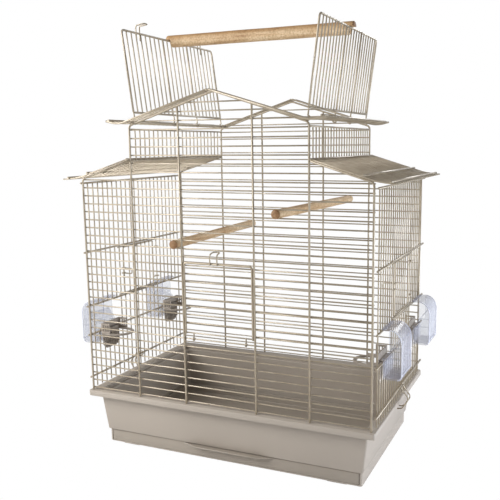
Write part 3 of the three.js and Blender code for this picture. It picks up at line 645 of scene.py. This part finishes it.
def addDowel(spec):
    s = dowelShape
    start, end = Vector(spec["from"]), Vector(spec["to"])
    length, radius = (end - start).length, spec["size"] / 2
    along = (end - start).normalized()
    across = Vector((0, 0, 1)).cross(along).normalized()
    up = along.cross(across)
    bevelEnd = s["bevel"][-1][0]
    middle = length - 2 * bevelEnd
    stations = [(reach, radius - inset) for reach, inset in s["bevel"]]
    stations += [(bevelEnd + middle * step / s["spans"], radius) for step in range(1, s["spans"])]
    stations += [(length - reach, radius - inset) for reach, inset in reversed(s["bevel"])]
    rings = []
    for reach, size in stations:
        ring = []
        for spot in range(s["sides"]):
            turn = 2 * math.pi * spot / s["sides"]
            cosine, sine = math.cos(turn), math.sin(turn)
            sample = (reach * s["wave"] + spec["seed"], cosine * s["round"], sine * s["round"])
            swell = min(noise.noise(sample) * s["swell"] - s["shrink"], s["most"])
            ring.append(start + along * reach + (across * cosine + up * sine) * (size + swell))
        rings.append(ring)
    kit = MeshKit()
    kit.addRings(rings)
    piece = kit.build(spec["name"])
    reach, half = s["cutReach"], s["grooveHalf"]
    if "step" in spec:
        near, far, low, high = spec["step"]
        for left, right in ((near, far), (-far, -near)):
            cutBox(piece, (left, -s["stepReach"], low), (right, s["stepReach"], high))
    else:
        near, far = s["groove"]
        for y in (-halfDepth, halfDepth):
            for low, high in ((near, far), (-far, -near)):
                cutBox(piece, (-reach, y - half, start.z + low), (reach, y + half, start.z + high))
    sharpenEdges(piece, s["crisp"])
    return piece


# Feeders, outside: a clear arched hood with rims, a sloping baffle and a narrow shelf along each side
hoodSizes = {
    "offset": 90.0, "width": 55.0, "wall": 1.8, "x": 233.0, "low": 157.0, "high": 225.8, "reach": 26.5,
    "edge": 0.9, "crown": (17.5, 21.0), "crownSteps": 10, "foot": 6.5, "footSteps": 7, "cutBeyond": 5.0,
    "mouthIn": 3.6, "sill": 179.5, "stepZ": 186.0, "stepX": 8.0, "lipX": 230.4, "lipEnds": 2.0,
    "lipZ": (224.1, 225.7), "baffle": ((1.5, 187.0), (14.0, 204.0)), "baffleThick": 1.5, "bite": 0.1,
    "shelfIn": (1.0, 1.6), "shelfWide": 0.9, "shelfZ": (184.8, 186.2), "rim": 1.7, "cornerRim": 1.36,
    "crisp": 40,
}


def quarterArc(centre, reach, start, steps):
    turns = [start + math.pi / 2 * step / steps for step in range(steps + 1)]
    return [(centre[0] + reach[0] * math.cos(turn), centre[1] + reach[1] * math.sin(turn))
            for turn in turns]


def hoodProfile(inset):
    s = hoodSizes
    left, right = s["x"] + inset, s["x"] + s["reach"] - inset
    low, high, foot = s["low"] + inset, s["high"] - inset, s["foot"] - inset
    crownX, crownZ = (size - inset for size in s["crown"])
    footArc = quarterArc((right - foot, low + foot), (foot, foot), -math.pi / 2, s["footSteps"])
    crownArc = quarterArc((right - crownX, high - crownZ), (crownX, crownZ), 0, s["crownSteps"])
    return [(left, low)] + footArc + crownArc + [(left, high)]


def slab(kit, side, xs, ys, zs):
    ends = sorted(side * x for x in xs)
    kit.addBox((ends[0], ys[0], zs[0]), (ends[1], ys[1], zs[1]))


def flatPlate(kit, side, outline, levels, placed):
    rings = [[Vector(placed(*point, level)) for point in outline] for level in levels]
    kit.addRings(rings if side > 0 else rings[::-1], smooth=False)


def addHood(side, end, name):
    s = hoodSizes
    half, wall, edge, x0 = s["width"] / 2, s["wall"], s["edge"], s["x"]
    centre, inside = end * s["offset"], s["width"] / 2 - s["wall"]

    def shellRings(inset):
        outer = half - inset
        stations = ((outer, edge), (outer - edge, 0.0), (edge - outer, 0.0), (-outer, edge))
        rings = [[Vector((side * x, centre + offset, z)) for x, z in hoodProfile(inset + shrink)]
                 for offset, shrink in stations]
        return rings[::-1] if side < 0 else rings

    kit, hollow = MeshKit(), MeshKit()
    kit.addRings(shellRings(0.0))
    piece = kit.build(name)
    hollow.addRings(shellRings(wall))
    subtract(piece, hollow.build("hollow"))
    beyond = s["cutBeyond"]
    for deep, across, low in ((s["mouthIn"], inside, s["sill"]), (s["stepX"], half + beyond, s["stepZ"])):
        left, right = sorted((side * (x0 - beyond), side * (x0 + deep)))
        cutBox(piece, (left, centre - across, low), (right, centre + across, s["high"] - wall))
    sharpenEdges(piece, s["crisp"])
    inner = MeshKit()
    lip = half - s["lipEnds"]
    slab(inner, side, (s["lipX"], x0 + wall), (centre - lip, centre + lip), s["lipZ"])
    (lowX, lowZ), (highX, highZ) = s["baffle"]
    thick, bite = s["baffleThick"], s["bite"]
    slope = [(lowX, lowZ), (lowX + thick, lowZ), (highX + thick, highZ), (highX, highZ)]
    flatPlate(inner, side, slope, (centre + inside + bite, centre - inside - bite),
              lambda x, z, y: (side * (x0 + x), y, z))
    near, far = s["shelfIn"]
    for low, high in ((-inside, s["shelfWide"] - inside), (inside - s["shelfWide"], inside)):
        slab(inner, side, (x0 + near, x0 + s["reach"] - far), (centre + low, centre + high), s["shelfZ"])
    rims = MeshKit()
    profile = hoodProfile(wall / 2)
    for offset in (half - wall / 2, wall / 2 - half):
        rims.addTube([(side * x, centre + offset, z) for x, z in profile[1:-1]], s["rim"], sides=8)
    cornerX, cornerZ = profile[1 + s["footSteps"]]
    across = [(side * cornerX, centre + y, cornerZ) for y in (-inside, inside)]
    rims.addTube(across, s["cornerRim"], sides=8)
    return piece, inner.build(name + "Baffle"), rims.build(name + "Rims")


# Feeders, inside: back plate, slotted cheeks, a ribbed tapered apron and a ring to perch on
holderSizes = {
    "x": 226.0, "width": 47.0, "wall": 1.8, "high": 190.0, "ledge": 174.0, "apronLow": 147.0,
    "apronHalf": 20.0, "toeHalf": 12.0, "toeRise": 7.0, "cheekReach": 16.0, "lowRail": 3.4,
    "highRail": 2.6, "posts": 4, "post": 1.6, "overlap": 0.1, "ribs": 9, "ribSpread": 4.6,
    "ribHalf": 0.6, "ribOut": 2.4, "ribIn": 0.2, "ribFoot": 0.8, "ribHead": 3.2, "shelfTo": 232.6,
    "shelfEnds": 4.0, "shelfZ": (178.5, 180.3), "ringReach": 41.0, "ringStart": 0.4, "ringGap": 0.2,
    "ringRail": 4.6, "ringThick": 2.8, "ringEdge": (0.6, 0.5), "ringSteps": 9, "straightShare": 0.36,
    "shoulderShare": 0.22, "tipShare": 0.2, "roundness": 1.3,
}


def ringOutline(inset):
    s = holderSizes
    reach, width = s["ringReach"] - inset, s["width"] / 2 - s["ringGap"] - inset
    straight, shoulder = s["straightShare"], s["shoulderShare"]
    flank = [(s["ringStart"], width), (reach * straight, width)]
    for turn in [math.pi / 2 * step / s["ringSteps"] for step in range(1, s["ringSteps"])]:
        flank.append((reach * (straight + (1 - straight) * math.sin(turn)),
                      width * (shoulder + (1 - shoulder) * math.cos(turn) ** s["roundness"])))
    flank.append((reach, width * s["tipShare"]))
    return flank + [(out, -across) for out, across in reversed(flank)]


def addHolder(side, end, name):
    s = holderSizes
    half, wall, x0, ledge, high = s["width"] / 2, s["wall"], s["x"], s["ledge"], s["high"]
    centre, cheek = end * hoodSizes["offset"], s["x"] - s["cheekReach"]
    kit = MeshKit()
    slab(kit, side, (x0 - wall, x0), (centre - half, centre + half), (ledge, high))
    for ys in ((centre - half, centre - half + wall), (centre + half - wall, centre + half)):
        for zs in ((ledge, ledge + s["lowRail"]), (high - s["highRail"], high)):
            slab(kit, side, (cheek, x0 - wall), ys, zs)
        zs = (ledge + s["lowRail"] - s["overlap"], high - s["highRail"] + s["overlap"])
        for post in range(s["posts"]):
            edge = cheek + post * (s["cheekReach"] - wall - s["post"]) / (s["posts"] - 1)
            slab(kit, side, (edge, edge + s["post"]), ys, zs)
    toe, toeHalf, wide = s["apronLow"] + s["toeRise"], s["toeHalf"], s["apronHalf"]
    apron = [(-toeHalf, s["apronLow"]), (toeHalf, s["apronLow"]), (wide, toe), (wide, ledge),
             (-wide, ledge), (-wide, toe)]
    flatPlate(kit, side, apron, (x0 - wall, x0), lambda y, z, x: (side * x, centre + y, z))
    for index in range(s["ribs"]):
        y = (index - (s["ribs"] - 1) / 2) * wide / s["ribSpread"]
        climb = max(0.0, (abs(y) - toeHalf) * s["toeRise"] / (wide - toeHalf))
        slab(kit, side, (x0 - wall - s["ribOut"], x0 - wall + s["ribIn"]),
             (centre + y - s["ribHalf"], centre + y + s["ribHalf"]),
             (s["apronLow"] + climb + s["ribFoot"], ledge - s["ribHead"]))
    shelf = half - s["shelfEnds"]
    slab(kit, side, (x0 - wall, s["shelfTo"]), (centre - shelf, centre + shelf), s["shelfZ"])
    ring = MeshKit()
    rings = []
    rail, thick = s["ringRail"], s["ringThick"]
    bevelIn, bevelDown = s["ringEdge"]
    profile = ((bevelIn, -thick), (0.0, bevelDown - thick), (0.0, -bevelDown), (bevelIn, 0.0),
               (rail - bevelIn, 0.0), (rail, -bevelDown), (rail, bevelDown - thick),
               (rail - bevelIn, -thick))
    for inset, z in profile:
        rings.append([Vector((side * (x0 - out), centre + across, ledge + z))
                      for out, across in ringOutline(inset)])
    ring.addRings(rings, closedLoop=True)
    return kit.build(name), ring.build(name + "Ring")


# Screen colours, 0 to 255, as the linear colours that shaders take
def linear(red, green, blue):
    def channel(value):
        value /= 255
        return value / 12.92 if value <= 0.04045 else ((value + 0.055) / 1.055) ** 2.4
    return (channel(red), channel(green), channel(blue), 1.0)


# Each input is a value, or another node's output to link
def addNode(tree, kind, inputs, **settings):
    node = tree.nodes.new("ShaderNode" + kind)
    for key, value in settings.items():
        setattr(node, key, value)
    for key, value in inputs.items():
        if isinstance(value, bpy.types.NodeSocket):
            tree.links.new(value, node.inputs[key])
        else:
            node.inputs[key].default_value = value
    return node


def nodeOfType(tree, kind):
    return next(node for node in tree.nodes if node.type == kind)


def addNoise(tree, coords, scale, detail, roughness=0.5):
    inputs = {"Vector": coords, "Scale": scale, "Detail": detail, "Roughness": roughness}
    return addNode(tree, "TexNoise", inputs).outputs["Fac"]


def addRange(tree, value, fromLow, fromHigh, toLow=0.0, toHigh=1.0):
    inputs = {"Value": value, "From Min": fromLow, "From Max": fromHigh,
              "To Min": toLow, "To Max": toHigh}
    return addNode(tree, "MapRange", inputs).outputs["Result"]


def mixColours(tree, factor, first, second, blend="MIX"):
    inputs = {"Factor": factor, "A": first, "B": second}
    return addNode(tree, "Mix", inputs, data_type="RGBA", blend_type=blend).outputs["Result"]


def addRamp(tree, value, stops):
    ramp = addNode(tree, "ValToRGB", {"Fac": value})
    elements = ramp.color_ramp.elements
    while len(elements) < len(stops):
        elements.new(0.5)
    for element, (place, colour) in zip(elements, stops):
        element.position = place
        element.color = linear(*colour)
    return ramp.outputs["Color"]


def mixShaders(tree, factor, first, second, output):
    mix = addNode(tree, "MixShader", {"Fac": factor, 1: first, 2: second})
    tree.links.new(mix.outputs["Shader"], nodeOfType(tree, output).inputs["Surface"])


# Effects that several materials share are node groups; each puts out a colour, a roughness and a height
groupOutputs = {"Colour": "Color", "Roughness": "Float", "Height": "Float"}


def startGroup(name, inputs):
    group = bpy.data.node_groups.new(name, "ShaderNodeTree")
    for direction, sockets in (("INPUT", inputs), ("OUTPUT", groupOutputs)):
        for label, kind in sockets.items():
            group.interface.new_socket(label, in_out=direction, socket_type="NodeSocket" + kind)
    return group, group.nodes.new("NodeGroupInput").outputs


def endGroup(group, colour, roughness, height):
    results = group.nodes.new("NodeGroupOutput").inputs
    for label, socket in zip(groupOutputs, (colour, roughness, height)):
        group.links.new(socket, results[label])
    return group


# Broad patches between two tones, and a fine grain in the skin
patchEdges = (0.3, 0.7)
grainDetail = 2.0


def buildPatchesAndGrain():
    group, given = startGroup("patchesAndGrain", {
        "Light": "Color", "Dark": "Color", "Patch Scale": "Float", "Patch Detail": "Float",
        "Grain Scale": "Float", "Smooth": "Float", "Rough": "Float"})
    coords = addNode(group, "TexCoord", {}).outputs["Object"]
    patches = addNoise(group, coords, given["Patch Scale"], given["Patch Detail"])
    colour = mixColours(group, addRange(group, patches, *patchEdges), given["Dark"], given["Light"])
    grain = addNoise(group, coords, given["Grain Scale"], grainDetail)
    roughness = addRange(group, grain, 0.0, 1.0, given["Smooth"], given["Rough"])
    return endGroup(group, colour, roughness, grain)


# Wood of a dowel: grain along it, blotches and flecks, darker sawn ends, and a darker upper side
woodLook = {
    "across": 160.0, "along": 9.0, "detail": 6.0, "noiseRoughness": 0.62,
    "grain": [(0.28, (178, 142, 102)), (0.45, (212, 182, 142)), (0.62, (226, 202, 166)),
              (0.8, (236, 216, 184))],
    "blotches": [(0.3, (232, 222, 208)), (0.62, (255, 255, 255))],
    "blotchScale": 38.0, "blotchDetail": 3.0, "blotchShare": 0.9,
    "flecks": [(0.36, (216, 204, 190)), (0.56, (255, 255, 255))], "fleckScale": 420.0, "fleckShare": 0.8,
    "sawn": (178, 158, 138), "sawnEdges": (-0.0015, -0.0003),
    "darkerTop": (216, 198, 172), "darkerTopEdges": (-0.0005, 0.0065),
    "roughness": (0.72, 0.55), "bump": (0.5, 0.0006),
}


def buildDowelWood():
    s = woodLook
    group, given = startGroup("dowelWood", {
        "Stretch": "Vector", "Along": "Vector", "End At": "Float", "Top At": "Float",
        "Top Darkening": "Float"})
    coords = addNode(group, "TexCoord", {}).outputs["Object"]
    stretched = addNode(group, "VectorMath", {0: coords, 1: given["Stretch"]}, operation="MULTIPLY")
    grain = addNoise(group, stretched.outputs["Vector"], 1.0, s["detail"], s["noiseRoughness"])
    blotches = addRamp(group, addNoise(group, coords, s["blotchScale"], s["blotchDetail"]), s["blotches"])
    flecks = addRamp(group, addNoise(group, coords, s["fleckScale"], grainDetail), s["flecks"])
    along = addNode(group, "VectorMath", {0: coords, 1: given["Along"]}, operation="DOT_PRODUCT")
    reach = addNode(group, "Math", {0: along.outputs["Value"]}, operation="ABSOLUTE").outputs["Value"]
    pastEnd = addNode(group, "Math", {0: reach, 1: given["End At"]}, operation="SUBTRACT")
    level = addNode(group, "SeparateXYZ", {"Vector": coords}).outputs["Z"]
    pastTop = addNode(group, "Math", {0: level, 1: given["Top At"]}, operation="SUBTRACT")
    sawn = addRange(group, pastEnd.outputs["Value"], *s["sawnEdges"])
    darkerTop = addRange(group, pastTop.outputs["Value"], *s["darkerTopEdges"], toHigh=given["Top Darkening"])
    tints = ((s["blotchShare"], blotches), (s["fleckShare"], flecks), (sawn, linear(*s["sawn"])),
             (darkerTop, linear(*s["darkerTop"])))
    colour = addRamp(group, grain, s["grain"])
    for share, tint in tints:
        colour = mixColours(group, share, colour, tint, "MULTIPLY")
    return endGroup(group, colour, addRange(group, grain, 0.0, 1.0, *s["roughness"]), grain)


patchesAndGrain = buildPatchesAndGrain()
dowelWood = buildDowelWood()


def startMaterial(name, group, values, bump, uniform):
    material = bpy.data.materials.new(name)
    material.use_nodes = True
    tree = material.node_tree
    shader = nodeOfType(tree, "BSDF_PRINCIPLED")
    look = addNode(tree, "Group", values, node_tree=group).outputs
    strength, distance = bump
    relief = addNode(tree, "Bump", {"Strength": strength, "Distance": distance, "Height": look["Height"]})
    for socket, key in ((look["Colour"], "Base Color"), (look["Roughness"], "Roughness"),
                        (relief.outputs["Normal"], "Normal")):
        tree.links.new(socket, shader.inputs[key])
    for key, value in uniform.items():
        shader.inputs[key].default_value = value
    return material, tree, shader


# The skin of each finish as the node group's inputs, its bump's strength and depth in metres
paintSkin = {"Patch Scale": 55.0, "Patch Detail": 3.0, "Grain Scale": 900.0, "Smooth": 0.3, "Rough": 0.42}
plasticSkin = {"Patch Scale": 6.0, "Patch Detail": 3.0, "Grain Scale": 1400.0, "Smooth": 0.43,
               "Rough": 0.54}
holderSkin = {**plasticSkin, "Smooth": 0.37, "Rough": 0.48}
clearSkin = {"Patch Scale": 24.0, "Patch Detail": 2.0, "Grain Scale": 24.0, "Smooth": 0.04, "Rough": 0.1}
paintBump, plasticBump, clearBump = (0.15, 0.0002), (0.12, 0.0002), (0.1, 0.002)
paintCoat = {"Metallic": 0.3, "Coat Weight": 0.6, "Coat Roughness": 0.22}
clearLook = {"through": (0.955, 0.96, 0.968, 1), "edgeBlend": 0.4, "edgeHaze": 0.4}


def toned(skin, light, dark):
    return {**skin, "Light": linear(*light), "Dark": linear(*dark)}


def paintedWire(name, light, dark):
    return startMaterial(name, patchesAndGrain, toned(paintSkin, light, dark), paintBump, paintCoat)[0]


def mouldedPlastic(name, light, dark, skin=plasticSkin):
    shine = {"Specular IOR Level": 0.4}
    return startMaterial(name, patchesAndGrain, toned(skin, light, dark), plasticBump, shine)[0]


# Clear plastic lets the light straight through, and its haze grows toward the edges
def clearPlastic(name, haze, light, dark):
    s = clearLook
    values = toned(clearSkin, light, dark)
    material, tree, shader = startMaterial(name, patchesAndGrain, values, clearBump, {})
    through = addNode(tree, "BsdfTransparent", {"Color": s["through"]}).outputs["BSDF"]
    facing = addNode(tree, "LayerWeight", {"Blend": s["edgeBlend"]}).outputs["Facing"]
    cover = addRange(tree, facing, 0.0, 1.0, haze, min(haze + s["edgeHaze"], 1.0))
    mixShaders(tree, cover, through, shader.outputs["BSDF"], "OUTPUT_MATERIAL")
    return material


def perchWood(name, axis, spec, topDarkening):
    s = woodLook
    values = {"Stretch": [s["along"] if index == axis else s["across"] for index in range(3)],
              "Along": [float(index == axis) for index in range(3)],
              "End At": spec["to"][axis] * mm, "Top At": spec["to"][2] * mm, "Top Darkening": topDarkening}
    return startMaterial(name, dowelWood, values, s["bump"], {})[0]


print("materials")
paint = paintedWire("wirePaint", (181, 168, 146), (161, 147, 125))
basePlastic = mouldedPlastic("basePlastic", (176, 166, 154), (168, 158, 146))
# Drawer: the base's plastic, darker as painted shade on the drawer's front
drawerPlasticPaintedShade = mouldedPlastic("drawerPlasticPaintedShade", (160, 150, 138), (152, 143, 131))
holderPlastic = mouldedPlastic("holderPlastic", (168, 157, 146), (158, 148, 136), holderSkin)
clear = clearPlastic("clearPlastic", 0.07, (206, 207, 218), (180, 181, 198))
# Hood rims: near-white, nearly opaque plastic, a painted highlight along the clear hood's edges
rimPaintedHighlight = clearPlastic("rimPaintedHighlight", 0.75, (248, 248, 254), (236, 237, 250))
woodAcross = perchWood("woodAcross", 0, dowelSizes["roof"], 1.0)
woodBack = perchWood("woodBack", 1, dowelSizes["left"], 0.0)

print("grilles")
finishPiece(addGrille(-1, True).build("frontGrille"), paint, "cage", "front_panel")
finishPiece(addGrille(1, False).build("backGrille"), paint, "cage", "back_panel")
finishPiece(addFrontDoor().build("frontDoor"), paint, "front_door", "front_door")
for sideName, side in (("left", -1), ("right", 1)):
    latchRise = sideDoorSizes["latchRise"][sideName]
    wirePieces = [
        ("SideGrille", addSideGrille(side), "cage", "side_panel"),
        ("SideDoor", addSideDoor(side), sideName + "_side_door", "side_door"),
        ("DoorLatch", addDoorLatch(side, latchRise), sideName + "_door_latch", "door_latch"),
        ("UpperPanel", addUpperPanel(side), "cage", "upper_panel"),
        ("LowerRoof", addLowerRoof(side), "cage", "lower_roof"),
        ("UpperRoof", addUpperRoof(side), "cage", "upper_roof"),
        ("RoofWing", addRoofWing(side), sideName + "_roof_wing", "roof_wing"),
        ("TrayClip", addTrayClip(side), sideName + "_tray_clip", "tray_clip"),
    ]
    for label, kit, body, node in wirePieces:
        finishPiece(kit.build(sideName + label), paint, body, sideName + "_" + node)

print("base and drawer")
for add, material, body, node in ((addBase, basePlastic, "cage", "base_tray"),
                                  (addDrawer, drawerPlasticPaintedShade, "litter_drawer", "litter_drawer")):
    for index, piece in enumerate(add()):
        sharpenEdges(piece, baseSizes["crisp"])
        finishPiece(piece, material, body, None if index else node)

print("perches")
for key, spec in dowelSizes.items():
    wood = woodAcross if key == "roof" else woodBack
    finishPiece(addDowel(spec), wood, spec["body"], spec["node"])

print("feeders")
for sideName, side in (("left", -1), ("right", 1)):
    for endName, end in (("front", -1), ("rear", 1)):
        label, name = sideName + "_" + endName + "_feeder_", sideName + endName.capitalize()
        hood = label + "hood"
        for piece, material, node in zip(addHood(side, end, name + "Hood"), (clear, clear, rimPaintedHighlight),
                                         (hood, None, None)):
            finishPiece(piece, material, hood, node)
        for piece, node in zip(addHolder(side, end, name + "Holder"), (label + "holder", None)):
            finishPiece(piece, holderPlastic, "cage", node)


# Plain pale floor and soft studio light; both look white straight on and through the clear hoods
def seenDirectly(tree):
    path = addNode(tree, "LightPath", {}).outputs
    rays = {0: path["Is Camera Ray"], 1: path["Is Transmission Ray"]}
    return addNode(tree, "Math", rays, operation="MAXIMUM").outputs["Value"]


studio = {
    "floorReach": 6000.0, "floorZ": (-20.0, -0.2), "floorRough": 0.9,
    "floorClouds": {"Light": (0.92, 0.92, 0.92, 1), "Dark": (0.88, 0.88, 0.88, 1), "Patch Scale": 2.0,
                    "Patch Detail": 2.0},
    "surround": (0.26, 0.26, 0.27, 1), "white": (1, 1, 1, 1),
}


def addFloor():
    s = studio
    kit = MeshKit()
    reach, (low, high) = s["floorReach"], s["floorZ"]
    kit.addBox((-reach, -reach, low), (reach, reach, high))
    floor = kit.build("studioFloor")
    material = bpy.data.materials.new("floorWhite")
    material.use_nodes = True
    tree = material.node_tree
    shader = nodeOfType(tree, "BSDF_PRINCIPLED")
    clouds = addNode(tree, "Group", s["floorClouds"], node_tree=patchesAndGrain)
    tree.links.new(clouds.outputs["Colour"], shader.inputs["Base Color"])
    shader.inputs["Roughness"].default_value = s["floorRough"]
    glow = addNode(tree, "Emission", {"Color": s["white"], "Strength": 1.0}).outputs["Emission"]
    mixShaders(tree, seenDirectly(tree), shader.outputs["BSDF"], glow, "OUTPUT_MATERIAL")
    floor.data.materials.append(material)


# Lamps: place and target in metres, width and height, power in watts and colour
lamps = {
    "keyLight": ((-0.88, -0.78, 0.78), (0, 0, 0.2), (0.7, 0.7), 17.6, (1, 1, 1)),
    "rightLight": ((1.0, 0.1, 0.12), (0, 0, 0.06), (0.9, 0.3), 8.4, (0.9, 0.97, 1.08)),
    "backLight": ((0.5, 2.2, 1.3), (0.1, 0, 0.25), (1.0, 0.7), 12.0, (1, 1, 1)),
    "topLight": ((-0.5, -0.5, 2.4), (0, 0, 0.2), (1.4, 1.4), 5.0, (1, 1, 1)),
}


def addLamp(name, place, target, size, power, colour):
    data = bpy.data.lights.new(name, "AREA")
    data.shape = "RECTANGLE"
    data.size, data.size_y = size
    data.energy = power
    data.color = colour
    light = bpy.data.objects.new(name, data)
    light.location = place
    light.rotation_euler = (Vector(target) - Vector(place)).to_track_quat("-Z", "Y").to_euler()
    bpy.context.scene.collection.objects.link(light)


print("floor and light")
addFloor()
for lampName, lamp in lamps.items():
    addLamp(lampName, *lamp)

world = bpy.data.worlds.new("studio")
bpy.context.scene.world = world
world.use_nodes = True
surround = nodeOfType(world.node_tree, "BACKGROUND")
surround.inputs["Color"].default_value = studio["surround"]
backdrop = addNode(world.node_tree, "Background", {"Color": studio["white"]})
mixShaders(world.node_tree, seenDirectly(world.node_tree), surround.outputs["Background"],
           backdrop.outputs["Background"], "OUTPUT_WORLD")
bpy.context.scene.view_settings.view_transform = "Standard"
